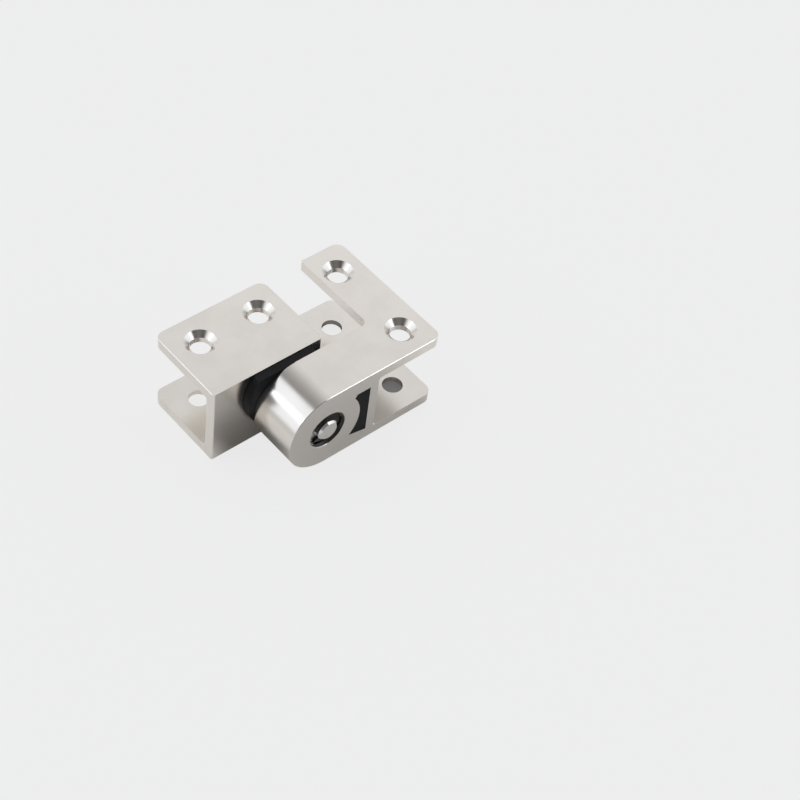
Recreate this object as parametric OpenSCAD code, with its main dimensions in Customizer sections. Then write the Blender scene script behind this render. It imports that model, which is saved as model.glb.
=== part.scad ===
// Partition hinge: a clamp bracket for the door, which turns on a pin in the barrel of a clamp bracket
// for the post. The pin lies along Y, the boards go in between the plates, and the hinge rests on its
// lower plates. Lengths in the sections below are measured from the pin's centre line (X), from the
// barrel's open face (Y) and from mid height (Z).

/* [Brackets] */
// Height over the clamp plates, which is also the diameter of the barrel
height = 24; // [21:0.5:30]
// Thickness of the clamp plates
plate_t = 3; // [2:0.1:3.6]
// Thickness of the upright web of the door bracket
door_web_t = 2.7; // [2:0.1:4]
// Thickness of the upright web of the post bracket
post_web_t = 2.6; // [2:0.1:4]
// Radius of the plates' rounded corners
corner_r = 2.5; // [1:0.1:4]
// Radius where a plate meets its web inside the clamp
inner_r = 0.8; // [0.3:0.1:1.5]
// Bevel on the plates' outer edges
bevel = 0.12; // [0.06:0.02:0.6]

/* [Door bracket] */
// Length of the door bracket across the pin
door_w = 33.5; // [28:0.5:45]
// Reach of the door bracket past the pin, towards the post
door_reach = 10.7; // [8:0.1:13]
// Depth of the door bracket along the pin
door_d = 24.5; // [20:0.5:32]
// Inset of the row of holes from the bracket's far edge
door_row_inset = 8.3; // [6:0.1:11]
// Inset of the hole nearest the post from the bracket's end
door_end_inset = 7.5; // [6:0.1:9]
// Inset of the other hole from the bracket's free end
door_free_inset = 8; // [6:0.1:10]

/* [Post bracket] */
// Length of the barrel along the pin
barrel_len = 14.2; // [12:0.1:20]
// Reach of the post bracket from the pin
post_reach = 36; // [32:0.5:45]
// Distance from the pin to the near side of the upright web
post_web_x = 13.1; // [12.6:0.1:15]
// Width of the arm beside the door bracket
arm_w = 12.7; // [12:0.1:15]
// Inset of the arm's holes from the bracket's end
post_end_inset = 7.2; // [6.4:0.1:7.5]
// Inset of the first hole from the barrel's open face
post_row_inset = 7.7; // [6:0.1:9]
// Inset of the second hole from the arm's far end
post_far_inset = 8.5; // [7:0.1:10]
// Radius in the corner between barrel and arm
notch_r = 1.5; // [0.5:0.1:3]

/* [Screw holes] */
// Diameter of the screw holes in all four plates
hole_d = 5.5; // [4:0.1:6]
// Diameter of the countersinks in the plates' outer faces
sink_d = 8.4; // [7:0.1:10]
// Full angle of the countersinks
sink_angle = 90; // [82:1:100]

/* [Pin] */
// Diameter of the hinge pin
pin_d = 6; // [5:0.1:6.6]
// Diameter of the pin's countersunk head
head_d = 9.6; // [8.6:0.1:11]
// Height of the pin's countersunk head
head_h = 1.8; // [1.2:0.1:1.9]
// Length of the pin's end beyond the barrel's open face
pin_proud = 0.5; // [0:0.1:1]
// Chamfer on the pin's end
pin_chamfer = 0.5; // [0.2:0.1:0.8]
// Radial clearance of the pin in whatever turns on it
pin_clear = 0.05; // [0.03:0.01:0.1]

/* [Bearing] */
// Gap between barrel and door bracket, which the bearing washer fills
gap = 2.5; // [1.5:0.1:4]
// Clearance between moving faces
face_clear = 0.1; // [0.05:0.01:0.2]
// Radius of the bearing washer's disc
disc_r = 11.6; // [10:0.1:13]
// Shift of the disc from the pin, away from the post
disc_shift = 2; // [0:0.1:3]
// Rise of the disc above the pin
disc_rise = 4; // [0:0.1:5]
// Depth of the disc's flat top below the top of the plates
disc_drop = 0.2; // [0:0.1:1]
// Wall of the bush that lines the barrel
bush_wall = 1.2; // [0.8:0.1:1.6]
// Clearance of the key in its pocket
key_clear = 0.08; // [0.04:0.01:0.15]

/* [Key pocket] */
// Radius of the round side of the pocket, about the pin
pocket_r = 10.3; // [9:0.1:10.8]
// Height of the pocket's top above the pin
pocket_top = 7.3; // [6:0.1:8]
// Depth of the pocket's lower corner below the pin
pocket_low = 8.4; // [7.8:0.1:8.9]
// Rise of the pocket's floor from the web to its sharp end
pocket_rise = 1.3; // [0.5:0.1:1.6]
// Length of the cut that blunts the pocket's upper corner
pocket_cut = 1.6; // [0.8:0.1:2]

/* [Retainer] */
// Diameter of the recess in the barrel's open face
recess_d = 11; // [10.6:0.1:13]
// Depth of that recess
recess_depth = 2.9; // [2.4:0.1:4]
// Diameter of the washer in the recess
washer_d = 10.4; // [9.6:0.1:10.5]
// Thickness of the washer
washer_t = 0.6; // [0.4:0.1:1]
// Diameter over the retaining clip
clip_d = 10.2; // [8.6:0.1:10.4]
// Thickness of the retaining clip
clip_t = 0.7; // [0.5:0.05:0.9]
// Depth of the clip's groove in the pin
groove_depth = 0.8; // [0.5:0.1:1]
// Width of the clip's open mouth
clip_mouth = 3.6; // [3:0.1:4]
// Direction of the clip's mouth, seen on the open face
clip_turn = 215; // [0:5:355]

/* [Hidden] */
$fn = 64;
past = 1;
edge_r = 0.6;
seat_clear = 0.05;
key_sink = 0.1;
barrel_r = height / 2;
clamp = height - 2 * plate_t;
door_y = barrel_len + gap;
depth = door_y + door_d;
door_x0 = door_reach - door_w;
door_row_y = depth - door_row_inset;
door_hole_x = [door_x0 + door_free_inset, door_reach - door_end_inset];
arm_x = post_reach - arm_w;
post_hole_x = post_reach - post_end_inset;
post_hole_y = [post_row_inset, depth - post_far_inset];
sink_depth = (sink_d - hole_d) / 2 / tan(sink_angle / 2);
pin_r = pin_d / 2;
bore_r = pin_r + pin_clear;
bush_r = bore_r + bush_wall;
head_y = door_y + door_web_t - head_h;
disc_t = gap - face_clear;
washer_y = recess_depth - washer_t;
clip_y = washer_y - face_clear - clip_t;
groove_r = pin_r - groove_depth;
centre = [(door_x0 + post_reach) / 2, (depth - pin_proud) / 2, -barrel_r];
steel = [0.80, 0.78, 0.76];
bright_steel = [0.72, 0.72, 0.72];
black = [0.10, 0.10, 0.11];

// Corners of the two plans, with the inside on the left: x, y and radius, negative in a hollow corner
door_plan = [[door_x0, door_y, edge_r], [door_reach, door_y, edge_r], [door_reach, depth, corner_r],
    [door_x0, depth, corner_r]];
post_edge = [[0, 0, 0], [post_reach, 0, corner_r], [post_reach, depth, corner_r],
    [arm_x, depth, edge_r], [arm_x, barrel_len, -notch_r], [0, barrel_len, 0]];
post_plan = concat([[-barrel_r, 0, 0]], [for (i = [1:4]) post_edge[i]], [[-barrel_r, barrel_len, 0]]);

// The bevelled edges of the two plans, without those beside the pivot
door_bevelled = [for (i = [1:4]) door_plan[i % 4]];
post_bevelled = [for (i = [0:3]) post_edge[i]];

// Moves what is drawn about the pin into the part's frame: origin on the ground under the middle
module place() {
    translate(-centre) children();
}

// Extrudes an outline in X and Z along the pin
module along_pin(y0, length) {
    translate([0, y0 + length, 0]) rotate([90, 0, 0]) linear_extrude(length) children();
}

// Round bar along the pin, straight or tapering from radius r to radius end_r
module bar(r, y0, length, end_r = undef) {
    translate([0, y0, 0]) rotate([-90, 0, 0])
        cylinder(r1 = r, r2 = is_undef(end_r) ? r : end_r, h = length);
}

// Rectangle between two opposite corners
module area(low, high) {
    translate(low) square(high - low);
}

// Puts children at a plan's corner i, with the edge before it along X
module at_corner(plan, i) {
    n = len(plan);
    before = plan[(i + n - 1) % n];
    translate([plan[i].x, plan[i].y]) rotate(atan2(plan[i].y - before.y, plan[i].x - before.x))
        children();
}

// Outline of a closed plan with its corners rounded
module outline(plan) {
    difference() {
        union() {
            polygon([for (c = plan) [c.x, c.y]]);
            for (i = [0:len(plan) - 1]) if (plan[i][2] < 0) at_corner(plan, i) difference() {
                area([plan[i][2], plan[i][2]], [past, past]);
                translate([plan[i][2], plan[i][2]]) circle(-plan[i][2]);
            }
        }
        for (i = [0:len(plan) - 1]) if (plan[i][2] > 0) at_corner(plan, i) difference() {
            area([-plan[i][2], -past], [past, plan[i][2]]);
            translate([-plan[i][2], plan[i][2]]) circle(plan[i][2]);
        }
    }
}

// Section of the bevel's cutter beyond a face, with the edge at s and the solid on the side given
module bevel_section(s, side) {
    run = bevel + edge_r / 4;
    polygon([[s - side * edge_r / 4, -run], [s + side * run, edge_r / 4],
        [s - side * edge_r / 4, edge_r / 4]]);
}

// Cutter for the bevel along the upper edge of an open run of corners
module bevel_edge(corners) {
    last = len(corners) - 1;
    for (i = [0:last - 1]) {
        a = corners[i];
        b = corners[i + 1];
        run = norm([b.x - a.x, b.y - a.y]) - abs(a[2]) - abs(b[2]);
        translate([a.x, a.y]) rotate(atan2(b.y - a.y, b.x - a.x)) translate([abs(a[2]), 0, 0])
            rotate([90, 0, 90]) linear_extrude(run) bevel_section(0, 1);
    }
    for (i = [1:last - 1]) at_corner(corners, i) translate([-corners[i][2], corners[i][2], 0])
        rotate(-90) rotate_extrude(angle = 90) bevel_section(corners[i][2], -1);
}

// The same bevel on the upper and the lower face of the plates
module bevel_both(corners) {
    for (side = [0, 1]) mirror([0, 0, side]) translate([0, 0, barrel_r]) bevel_edge(corners);
}

// Bevel round the half of the barrel's rim that faces the door, on the face at y
module bevel_rim(y, far) {
    translate([0, y, 0]) rotate([far ? -90 : 90, 0, 0]) rotate(90) rotate_extrude(angle = 180)
        bevel_section(barrel_r, -1);
}

// Screw hole through both plates, countersunk in the outer face of each
module screw_hole(x, y) {
    widen = 2 * past * tan(sink_angle / 2);
    translate([x, y, 0]) {
        cylinder(d = hole_d, h = height + 2 * past, center = true);
        for (side = [0, 1]) mirror([0, 0, side]) translate([0, 0, barrel_r - sink_depth])
            cylinder(d1 = hole_d, d2 = sink_d + widen, h = sink_depth + past);
    }
}

// Clamp space between the plates, from a web's face at s, drawn in s and Z
module clamp_space(s, reach) {
    difference() {
        area([s, -clamp / 2], [reach, clamp / 2]);
        for (side = [0, 1]) mirror([0, side]) difference() {
            area([s - past, clamp / 2 - inner_r], [s + inner_r, clamp / 2 + past]);
            translate([s + inner_r, clamp / 2 - inner_r]) circle(inner_r);
        }
    }
}

// Pocket for the key beside the barrel, drawn in X and Z and smaller all round by an inset
module pocket(inset) {
    high = pocket_top - inset;
    side = post_web_x - inset;
    tip = sqrt(pow(pocket_r, 2) - pow(pocket_low - pocket_rise, 2));
    slope = pocket_rise / (post_web_x - tip);
    inner = tip - 1;
    blunt = high - pocket_cut * 2 / 3;
    difference() {
        polygon([
            [sqrt(pow(pocket_r, 2) - pow(pocket_top, 2)) + pocket_cut + inset, high],
            [side, high],
            [side, inset - pocket_low],
            [inner, inset - pocket_low + slope * (side - inner)],
            [sqrt(pow(pocket_r, 2) - pow(blunt, 2)) + inset, blunt]
        ]);
        circle(pocket_r + inset);
    }
}

// Section of the post bracket: barrel, web and both plates
module post_section() {
    difference() {
        union() {
            circle(barrel_r);
            area([0, -barrel_r], [post_reach, barrel_r]);
        }
        clamp_space(post_web_x + post_web_t, post_reach + past);
        pocket(0);
    }
}

// Cast bracket that clamps the post and carries the barrel
module post_bracket() {
    rim = bevel / 2;
    color(steel) place() difference() {
        intersection() {
            along_pin(0, depth) post_section();
            translate([0, 0, -barrel_r]) linear_extrude(height) outline(post_plan);
        }
        bar(bush_r, -past, barrel_len + 2 * past);
        bar(recess_d / 2, -past, recess_depth + past);
        bar(recess_d / 2 + rim + past, -past, rim + past, recess_d / 2);
        bevel_both(post_bevelled);
        bevel_rim(0, false);
        bevel_rim(barrel_len, true);
        for (y = post_hole_y) screw_hole(post_hole_x, y);
    }
}

// Bent-up channel that clamps the door, with the pin's seat in its web
module door_bracket() {
    color(steel) place() difference() {
        translate([0, 0, -barrel_r]) linear_extrude(height) outline(door_plan);
        translate([door_x0 - past, 0, 0]) rotate([90, 0, 90]) linear_extrude(door_w + 2 * past)
            clamp_space(door_y + door_web_t, depth + past);
        bar(bore_r, door_y - past, door_web_t + 2 * past);
        bar(pin_r, head_y, head_h, head_d / 2);
        bevel_both(door_bevelled);
        for (x = door_hole_x) screw_hole(x, door_row_y);
    }
}

// Bearing washer in X and Z: a disc set off the pin's centre, with a flat top, and the key's foot
module washer_disc() {
    intersection() {
        translate([-disc_shift, disc_rise]) circle(disc_r);
        area([-2 * height, -2 * height], [2 * height, barrel_r - disc_drop]);
    }
    area([0, pocket_rise - pocket_low], [post_web_x - key_clear, pocket_top - key_clear]);
    pocket(key_clear);
}

// Nylon washer between barrel and door bracket, kept from turning by the key in its pocket
module bearing_washer() {
    color(black) place() difference() {
        union() {
            along_pin(barrel_len, disc_t) washer_disc();
            along_pin(key_sink, barrel_len) pocket(key_clear);
        }
        bar(bore_r, barrel_len - past, disc_t + 2 * past);
    }
}

// Nylon bush that lines the barrel
module pin_bush() {
    color(black) place() difference() {
        bar(bush_r, recess_depth, barrel_len - recess_depth);
        bar(bore_r, recess_depth - past, barrel_len);
    }
}

// Hinge pin with its head sunk flush in the door bracket's web and a groove for the clip
module hinge_pin() {
    end_y = pin_chamfer - pin_proud;
    color(bright_steel) place() difference() {
        union() {
            bar(pin_r - pin_chamfer, -pin_proud, pin_chamfer, pin_r);
            bar(pin_r, end_y, head_y - end_y);
            bar(pin_r, head_y, head_h, head_d / 2);
        }
        difference() {
            bar(pin_r + past, clip_y, clip_t + seat_clear);
            bar(groove_r, clip_y - past, clip_t + 2 * past);
        }
    }
}

// Washer on the floor of the barrel's recess
module pin_washer() {
    color(bright_steel) place() difference() {
        bar(washer_d / 2, washer_y, washer_t);
        bar(bore_r + seat_clear, washer_y - past, washer_t + 2 * past);
    }
}

// Spring clip in the pin's groove, with three lugs and an open mouth
module retaining_clip() {
    lug_half = 22;
    hold_r = groove_r + seat_clear;
    free_r = pin_r + seat_clear;
    color(black) place() along_pin(clip_y, clip_t) rotate(clip_turn) difference() {
        circle(clip_d / 2);
        circle(hold_r);
        for (turn = [60, -60]) rotate(turn) intersection() {
            circle(free_r + seat_clear);
            polygon([[0, 0], [clip_d, -clip_d * tan(lug_half)], [clip_d, clip_d * tan(lug_half)]]);
        }
        area([0, -clip_mouth / 2], [clip_d, clip_mouth / 2]);
    }
}

post_bracket();
door_bracket();
bearing_washer();
pin_bush();
hinge_pin();
pin_washer();
retaining_clip();
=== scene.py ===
import math

import bpy
from mathutils import Matrix

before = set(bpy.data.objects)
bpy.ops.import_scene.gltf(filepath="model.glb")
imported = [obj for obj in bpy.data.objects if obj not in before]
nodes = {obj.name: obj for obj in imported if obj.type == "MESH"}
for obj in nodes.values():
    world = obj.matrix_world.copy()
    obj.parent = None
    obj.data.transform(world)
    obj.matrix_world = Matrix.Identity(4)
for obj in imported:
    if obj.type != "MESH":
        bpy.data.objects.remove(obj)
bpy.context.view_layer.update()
scene = bpy.context.scene
scene.view_settings.view_transform = "Standard"

# Lengths are in metres, angles in degrees, and noise scales in cells to the metre


# Node helpers

def link(tree, value, socket):
    """Feeds a socket from another socket, or sets it to a plain value."""
    if isinstance(value, bpy.types.NodeSocket):
        tree.links.new(value, socket)
    else:
        socket.default_value = value


def math_node(tree, operation, *values):
    n = tree.nodes.new("ShaderNodeMath")
    n.operation = operation
    for i, v in enumerate(values):
        link(tree, v, n.inputs[i])
    return n.outputs[0]


def smooth_range(tree, value, low, high, out_low=0.0, out_high=1.0):
    """Goes smoothly from one output to the other while the value goes from low to high."""
    n = tree.nodes.new("ShaderNodeMapRange")
    n.interpolation_type = "SMOOTHSTEP"
    for i, v in enumerate((value, low, high, out_low, out_high)):
        link(tree, v, n.inputs[i])
    return n.outputs[0]


def mix_colour(tree, factor, a, b):
    n = tree.nodes.new("ShaderNodeMix")
    n.data_type = "RGBA"
    link(tree, factor, n.inputs[0])
    link(tree, a, n.inputs[6])
    link(tree, b, n.inputs[7])
    return n.outputs[2]


def split_xyz(tree, vector):
    n = tree.nodes.new("ShaderNodeSeparateXYZ")
    tree.links.new(vector, n.inputs[0])
    return n.outputs


def add_shaders(tree, a, b):
    n = tree.nodes.new("ShaderNodeAddShader")
    tree.links.new(a, n.inputs[0])
    tree.links.new(b, n.inputs[1])
    return n.outputs[0]


def stretched_noise(tree, coords, scale, detail=2.0):
    """Noise stretched along the axes whose scale is small."""
    mapping = tree.nodes.new("ShaderNodeMapping")
    mapping.inputs["Scale"].default_value = scale
    tree.links.new(coords, mapping.inputs["Vector"])
    noise = tree.nodes.new("ShaderNodeTexNoise")
    noise.inputs["Scale"].default_value = 1.0
    noise.inputs["Detail"].default_value = detail
    noise.inputs["Roughness"].default_value = 0.6
    tree.links.new(mapping.outputs[0], noise.inputs["Vector"])
    return noise.outputs["Fac"]


def bump(tree, height, strength, distance):
    n = tree.nodes.new("ShaderNodeBump")
    n.inputs["Strength"].default_value = strength
    n.inputs["Distance"].default_value = distance
    tree.links.new(height, n.inputs["Height"])
    return n.outputs[0]


def new_material(name):
    material = bpy.data.materials.new(name)
    material.use_nodes = True
    tree = material.node_tree
    return material, tree, tree.nodes["Principled BSDF"]


# Materials

ALONG_GRAIN, ACROSS_GRAIN = 60, 9000
GRAIN_DEPTH = 0.00003
STEEL_CLOUD = 90
EGGSHELL, EGGSHELL_DEPTH = 2600, 0.00002
NYLON_CLOUD = 160
PIN_X = -0.0066          # the pin's centre line: the barrel's round half lies on its -X side
BARREL_BLEND = 0.0014


def steel(name, colour, darker, rough_low, rough_high, grain=1.0, barrel=0.0, relief=0.12):
    """Finely brushed steel. The amount barrel is added to the roughness on the barrel's round half."""
    material, tree, shader = new_material(name)
    coords = tree.nodes.new("ShaderNodeTexCoord")
    place = coords.outputs["Object"]
    facing_y = math_node(tree, "ABSOLUTE", split_xyz(tree, coords.outputs["Normal"])[1])
    end_face = smooth_range(tree, facing_y, 0.5, 0.9)
    flank = math_node(tree, "SUBTRACT", 1.0, end_face)
    along, across = ALONG_GRAIN * grain, ACROSS_GRAIN * grain
    flank_streaks = stretched_noise(tree, place, (along, across, along))
    end_streaks = stretched_noise(tree, place, (along, along, across))
    streaks = math_node(tree, "ADD", math_node(tree, "MULTIPLY", flank, flank_streaks),
                        math_node(tree, "MULTIPLY", end_face, end_streaks))
    cloud = stretched_noise(tree, place, (STEEL_CLOUD, STEEL_CLOUD, STEEL_CLOUD), detail=3.0)
    tree.links.new(mix_colour(tree, smooth_range(tree, cloud, 0.35, 0.65), colour, darker),
                   shader.inputs["Base Color"])
    rough = math_node(tree, "MULTIPLY_ADD", streaks, 0.5, math_node(tree, "MULTIPLY", cloud, 0.5))
    rough = smooth_range(tree, rough, 0.3, 0.7, rough_low, rough_high)
    if barrel:
        round_half = smooth_range(tree, split_xyz(tree, place)[0], PIN_X - BARREL_BLEND, PIN_X, 1.0, 0.0)
        round_half = math_node(tree, "MULTIPLY", round_half, flank)
        rough = math_node(tree, "MULTIPLY_ADD", round_half, barrel, rough)
    tree.links.new(rough, shader.inputs["Roughness"])
    tree.links.new(bump(tree, streaks, relief, GRAIN_DEPTH), shader.inputs["Normal"])
    shader.inputs["Metallic"].default_value = 1.0
    return material


def nylon(name):
    """Black moulded nylon with a fine eggshell surface."""
    material, tree, shader = new_material(name)
    place = tree.nodes.new("ShaderNodeTexCoord").outputs["Object"]
    fine = stretched_noise(tree, place, (EGGSHELL, EGGSHELL, EGGSHELL))
    cloud = stretched_noise(tree, place, (NYLON_CLOUD, NYLON_CLOUD, NYLON_CLOUD))
    tree.links.new(mix_colour(tree, cloud, (0.006, 0.006, 0.008, 1), (0.012, 0.012, 0.014, 1)),
                   shader.inputs["Base Color"])
    tree.links.new(smooth_range(tree, cloud, 0.3, 0.7, 0.42, 0.58), shader.inputs["Roughness"])
    tree.links.new(bump(tree, fine, 0.25, EGGSHELL_DEPTH), shader.inputs["Normal"])
    shader.inputs["Specular IOR Level"].default_value = 0.17
    return material


# Two colours that the clouds mix, and the lowest and highest roughness
SATIN = ((0.80, 0.765, 0.725, 1), (0.775, 0.74, 0.70, 1), 0.20, 0.27)
BRIGHT = ((0.84, 0.82, 0.80, 1), (0.80, 0.78, 0.76, 1), 0.22, 0.28)
MATT = ((0.80, 0.79, 0.78, 1), (0.74, 0.73, 0.72, 1), 0.42, 0.52)
BLACKENED = ((0.035, 0.035, 0.038, 1), (0.02, 0.02, 0.022, 1), 0.30, 0.42)

black_nylon = nylon("black_nylon")
finish = {
    "post_bracket": steel("turned_steel", *SATIN, barrel=-0.05),
    "door_bracket": steel("satin_steel", *SATIN),
    "bearing_washer": black_nylon,
    "pin_bush": black_nylon,
    "hinge_pin": steel("pin_steel", *BRIGHT, grain=0.8, relief=0.02),
    "pin_washer": steel("washer_steel", *MATT, grain=0.6),
    "retaining_clip": steel("black_steel", *BLACKENED),
}
for name, material in finish.items():
    for slot in nodes[name].material_slots:
        slot.material = material


# Floor

BACKGROUND = 0.855
OPEN_LIGHT = 0.60        # what the studio lays on open floor, which the glow gives up as real light is let in
SHADOW_OUTSIDE, SHADOW_INSIDE = 0.12, 0.80
# Painted shade on the floor by the arm's near hole: the share of real light kept there, and the part of the
# glow kept
PAINTED_HOLE_SHARE, PAINTED_HOLE_GLOW = 0.35, 0.16
FLOOR_HALF = 3
FLOOR_ALBEDO = 0.62
FLOOR_GLOW = 0.45
EDGE = 0.002             # soft edge of the patches under the plates
ARM_END = 0.0185
SEEN_ARM_END = 0.004     # short of the arm's far hole, through which the floor is seen pale
# Painted shade under the plates on the table that the metal mirrors: the share of its glow taken off
PAINTED_SHADE_UNDER_PLATES = 0.90

# Painted shade on the table that the metal mirrors, where the hinge's shadow and occlusion fall: X range, Y
# range, soft edge and the share taken off
PAINTED_SHADE_PATCHES = (
    ((-0.017, 0.022), (-1.0, -0.013), 0.018, 0.57),         # in front of the hinge
    ((-0.0215, -0.010), (-0.0095, -0.002), 0.009, 0.91),    # in front of the door bracket's web
    ((0.036, 1.0), (0.0, 1.0), 0.010, 0.80),                # past the post bracket's arm
    ((-0.25, -0.09), (-0.5, 0.5), 0.03, 0.35),              # farther out, past the door bracket
)


def band(tree, value, low, high, soft):
    """1 between low and high, falling to 0 over a soft edge outside them."""
    return math_node(tree, "MULTIPLY", smooth_range(tree, value, low - soft, low),
                     smooth_range(tree, value, high, high + soft, 1.0, 0.0))


def patch(tree, spot, x, y, soft=EDGE):
    """1 on a rectangle of the floor, with soft edges outside it."""
    return math_node(tree, "MULTIPLY", band(tree, spot[0], *x, soft), band(tree, spot[1], *y, soft))


def footprint(tree, spot, arm_to):
    """1 under the lower plates: under the door's, bar its free end, and up to one Y under the post's arm."""
    door = patch(tree, spot, (-0.015, 0.002), (-0.0015, 0.0185))
    post = patch(tree, spot, (0.006, 0.027), (-0.0185, -0.0085))
    arm = patch(tree, spot, (0.019, 0.027), (-0.0185, arm_to))
    return math_node(tree, "MAXIMUM", math_node(tree, "MAXIMUM", door, post), arm)


def seen_floor(tree, spot):
    """A pale ground with a faint real shadow and a full one under the plates, plus painted shade that makes
    it darkest by the arm's near hole.
    """
    # mask of the painted shade by the arm's near hole
    painted_hole_shade = patch(tree, spot, (0.016, 0.027), (-0.0185, -0.0065))
    under = footprint(tree, spot, SEEN_ARM_END)
    share = smooth_range(tree, under, 0.0, 1.0, SHADOW_OUTSIDE, SHADOW_INSIDE)
    share = math_node(tree, "MULTIPLY", share, smooth_range(tree, painted_hole_shade, 0.0, 1.0, 1.0, PAINTED_HOLE_SHARE))
    shade = math_node(tree, "MULTIPLY_ADD", share, -OPEN_LIGHT, BACKGROUND)
    # painted shade: the glow is cut down by the arm's near hole
    shade = math_node(tree, "MULTIPLY", shade, smooth_range(tree, painted_hole_shade, 0.0, 1.0, 1.0, PAINTED_HOLE_GLOW))
    pale = tree.nodes.new("ShaderNodeEmission")
    tree.links.new(shade, pale.inputs["Strength"])
    veil = tree.nodes.new("ShaderNodeBsdfDiffuse")
    tree.links.new(share, veil.inputs["Color"])
    return add_shaders(tree, pale.outputs[0], veil.outputs[0])


def mirrored_floor(tree, spot, shader, glossy):
    """A table whose glow only the metal's reflections see, with painted shade under the plates and on the
    patches.
    """
    painted_shades = [(footprint(tree, spot, ARM_END), PAINTED_SHADE_UNDER_PLATES)]
    painted_shades += [(patch(tree, spot, x, y, soft), amount) for x, y, soft, amount in PAINTED_SHADE_PATCHES]
    glow = FLOOR_GLOW
    # painted shade: each mask takes its share off the glow that the metal mirrors
    for mask, amount in painted_shades:
        glow = math_node(tree, "MULTIPLY", glow, math_node(tree, "MULTIPLY_ADD", mask, -amount, 1.0))
    lit = tree.nodes.new("ShaderNodeEmission")
    lit.inputs["Color"].default_value = (1.0, 0.985, 0.965, 1)
    tree.links.new(math_node(tree, "MULTIPLY", glossy, glow), lit.inputs["Strength"])
    shader.inputs["Base Color"].default_value = (FLOOR_ALBEDO, FLOOR_ALBEDO * 0.985, FLOOR_ALBEDO * 0.96, 1)
    shader.inputs["Roughness"].default_value = 0.9
    shader.inputs["Specular IOR Level"].default_value = 0.1
    return add_shaders(tree, shader.outputs[0], lit.outputs[0])


def flat_mesh(name, corners):
    mesh = bpy.data.meshes.new(name)
    mesh.from_pydata(corners, [], [tuple(range(len(corners)))])
    obj = bpy.data.objects.new(name, mesh)
    scene.collection.objects.link(obj)
    return obj


floor = flat_mesh("floor", [(-FLOOR_HALF, -FLOOR_HALF, 0), (FLOOR_HALF, -FLOOR_HALF, 0),
                            (FLOOR_HALF, FLOOR_HALF, 0), (-FLOOR_HALF, FLOOR_HALF, 0)])
material, tree, shader = new_material("floor")
path = tree.nodes.new("ShaderNodeLightPath")
spot = split_xyz(tree, tree.nodes.new("ShaderNodeTexCoord").outputs["Object"])
choose = tree.nodes.new("ShaderNodeMixShader")
tree.links.new(path.outputs["Is Camera Ray"], choose.inputs[0])
tree.links.new(mirrored_floor(tree, spot, shader, path.outputs["Is Glossy Ray"]), choose.inputs[1])
tree.links.new(seen_floor(tree, spot), choose.inputs[2])
tree.links.new(choose.outputs[0], tree.nodes["Material Output"].inputs["Surface"])
floor.data.materials.append(material)


# Studio

# The room brightens from the camera's side towards this direction
ROOM_BRIGHT_SIDE = (0.735, 0.678, 0.0)
ROOM_ONSET, ROOM_POWER = 0.7, 3.0
ROOM_DARK, ROOM_GAIN, ROOM_MOST = 0.08, 1.50, 0.95

# Round soft lights in the sky: direction, angle up to which it is full, angle past which it is gone, strength
SOFT_LIGHTS = (
    ((-0.88, 0.46, 0.05), 38, 62, 1.0),      # pale wall, low past the door bracket
    ((-0.40, -0.88, 0.25), 20, 50, 0.22),    # faint fill in front
    ((-0.74, 0.50, 0.455), 28, 40, 1.17),    # lamp past the door bracket
    ((-0.78, 0.40, 0.48), 5, 9, 2.6),        # bright spot in that lamp
    ((0.75, -0.56, 0.35), 24, 32, 1.15),     # lamp past the post bracket
    ((0.49, -0.74, 0.445), 4, 10, 3.0),      # bright spot in that lamp
)

# From one level to another the light goes from white to cool, which the warm steel mirrors as white
WHITE, COOL = (1.0, 1.0, 1.0, 1), (0.956, 1.0, 1.055, 1)
COOL_FROM, COOL_TO = 0.95, 1.15

world = bpy.data.worlds.new("studio")
scene.world = world
world.use_nodes = True
tree = world.node_tree
direction = tree.nodes.new("ShaderNodeTexCoord").outputs["Generated"]


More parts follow.
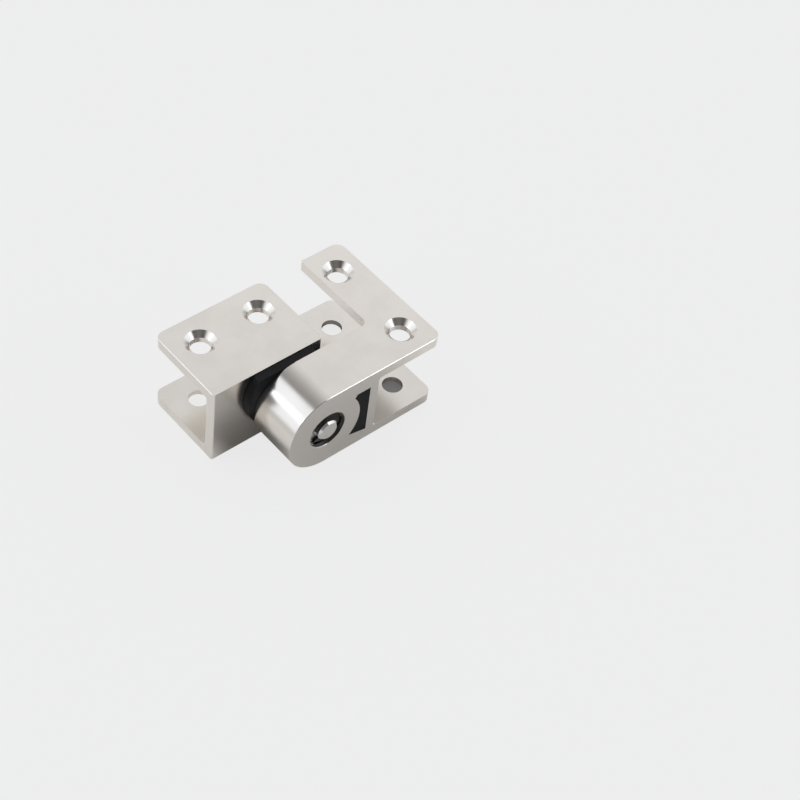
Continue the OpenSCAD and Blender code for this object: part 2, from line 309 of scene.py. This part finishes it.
def cosine_to(vector):
    """Cosine of the angle between the direction looked in and a fixed one."""
    length = math.sqrt(sum(c * c for c in vector))
    n = tree.nodes.new("ShaderNodeVectorMath")
    n.operation = "DOT_PRODUCT"
    tree.links.new(direction, n.inputs[0])
    n.inputs[1].default_value = [c / length for c in vector]
    return n.outputs["Value"]


def soft_light(vector, inner, outer, strength):
    dark, full = math.cos(math.radians(outer)), math.cos(math.radians(inner))
    return math_node(tree, "MULTIPLY", smooth_range(tree, cosine_to(vector), dark, full), strength)


rise = math_node(tree, "ADD", cosine_to(ROOM_BRIGHT_SIDE), ROOM_ONSET)
rise = math_node(tree, "DIVIDE", math_node(tree, "MAXIMUM", rise, 0.0), 1.0 + ROOM_ONSET)
level = math_node(tree, "MULTIPLY_ADD", math_node(tree, "POWER", rise, ROOM_POWER), ROOM_GAIN, ROOM_DARK)
level = math_node(tree, "MINIMUM", level, ROOM_MOST)
for light in SOFT_LIGHTS:
    level = math_node(tree, "MAXIMUM", level, soft_light(*light))
tint = mix_colour(tree, smooth_range(tree, level, COOL_FROM, COOL_TO), WHITE, COOL)
coloured = tree.nodes.new("ShaderNodeVectorMath")
coloured.operation = "SCALE"
tree.links.new(tint, coloured.inputs[0])
tree.links.new(level, coloured.inputs["Scale"])
shown = mix_colour(tree, tree.nodes.new("ShaderNodeLightPath").outputs["Is Camera Ray"],
                   coloured.outputs[0], (BACKGROUND, BACKGROUND, BACKGROUND, 1))
tree.links.new(shown, tree.nodes["Background"].inputs["Color"])


# Camera, fitted to the photograph

CAMERA_PLACE = (-0.2041523, -0.2250893, 0.3446787)
RIGHT = (0.7556228, -0.6466285, 0.1044306)
DOWN = (-0.4347550, -0.6143733, -0.6584327)
FORWARD = (0.4899207, 0.4521250, -0.7453594)
LENS_MM, SENSOR_MM = 79.824, 36
CLIP_START = 0.01

camera_data = bpy.data.cameras.new("camera")
camera_data.sensor_width = SENSOR_MM
camera_data.lens = LENS_MM
camera_data.clip_start = CLIP_START
camera = bpy.data.objects.new("camera", camera_data)
scene.collection.objects.link(camera)
turn = Matrix((RIGHT, [-c for c in DOWN], [-c for c in FORWARD])).transposed()
camera.matrix_world = Matrix.Translation(CAMERA_PLACE) @ turn.to_4x4()
scene.camera = camera
